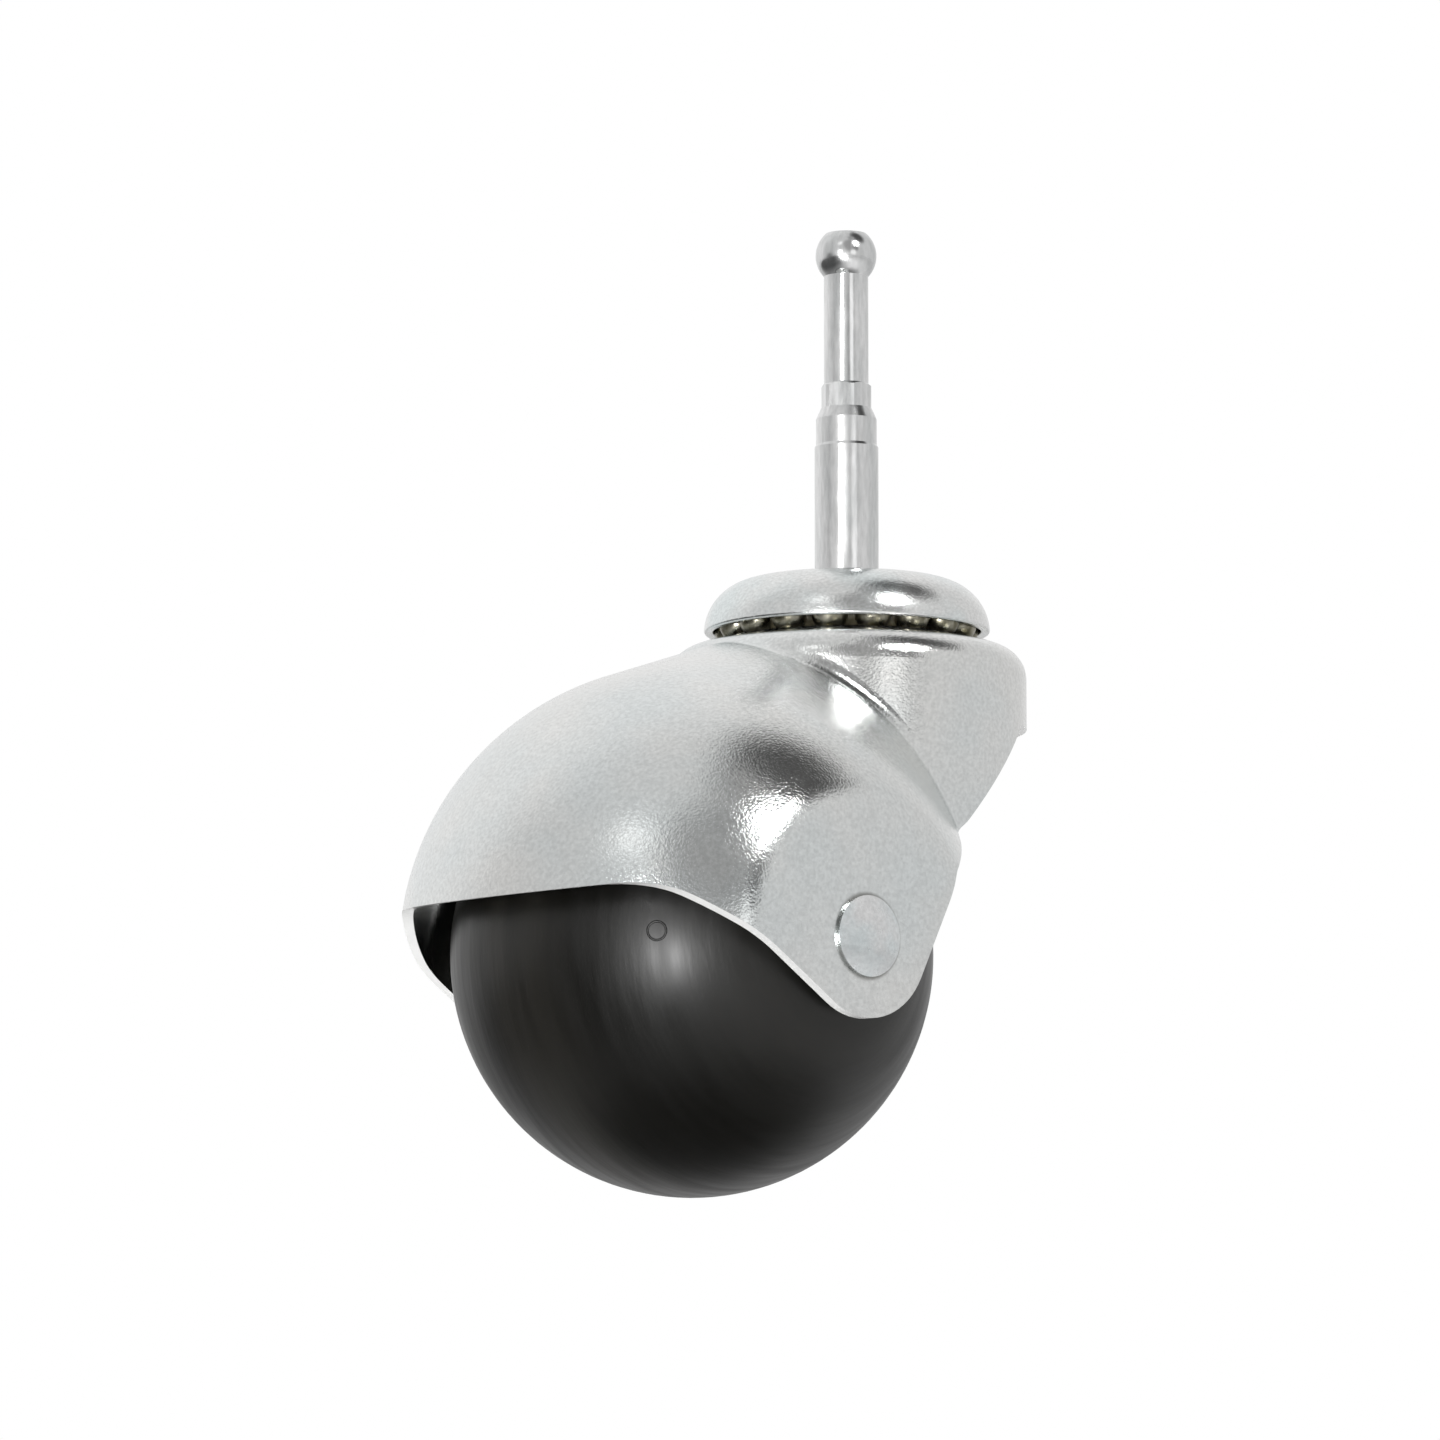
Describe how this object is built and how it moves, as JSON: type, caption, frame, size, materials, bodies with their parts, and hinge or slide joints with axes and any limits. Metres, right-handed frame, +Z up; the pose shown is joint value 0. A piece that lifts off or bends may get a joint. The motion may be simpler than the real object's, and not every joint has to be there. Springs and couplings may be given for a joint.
{
  "type": "hooded ball furniture caster",
  "caption": "Hooded ball caster for furniture: a black ball wheel on an axle in a drawn steel hood that swivels on a ball race under a grip-neck push-in stem.",
  "frame": {"origin": "on the stem's axis, in the plane of the cap's top, where the furniture leg rests", "axes": "+Z up along the stem, Y along the axle, the ball trails at -X"},
  "size_m": [0.0721, 0.0566, 0.1055],
  "materials": {
    "zinc_stem": "bright zinc plate with drawn lines along the pin",
    "zinc_cap": "bright zinc plate on a turned dome",
    "bearing_steel": "polished steel balls under a film of grease",
    "zinc_hood": "bright zinc plate, faintly blue, on drawn sheet",
    "zinc_washer": "dull zinc plate",
    "zinc_rivet": "bright zinc plate with fine marks from the riveting",
    "plain_steel": "plain drawn tube",
    "black_ball": "black moulded plastic, satin, with fine wear from rolling"
  },
  "bodies": {
    "stem_and_cap": {"stem": "zinc_stem", "top_cap": "zinc_cap", "thrust_washer": "zinc_washer"},
    "bearing": {"bearing_balls": "bearing_steel"},
    "hood_and_axle": {"hood": "zinc_hood", "axle_rivet": "zinc_rivet", "axle_sleeve": "plain_steel"},
    "wheel": {"ball_wheel": "black_ball"}
  },
  "joints": [
    {"name": "swivel", "type": "hinge", "parent": "stem_and_cap", "child": "hood_and_axle", "pos_m": [0, 0, -0.0068], "axis": [0, 0, 1], "continuous": true},
    {"name": "bearing_orbit", "type": "hinge", "parent": "stem_and_cap", "child": "bearing", "pos_m": [0, 0, -0.0068], "axis": [0, 0, 1], "continuous": true},
    {"name": "wheel_roll", "type": "hinge", "parent": "hood_and_axle", "child": "wheel", "pos_m": [-0.0222, 0, -0.042], "axis": [0, 1, 0], "continuous": true}
  ],
  "couplings": [
    {"joint": "bearing_orbit", "follows": "swivel", "ratio": 0.5}
  ]
}
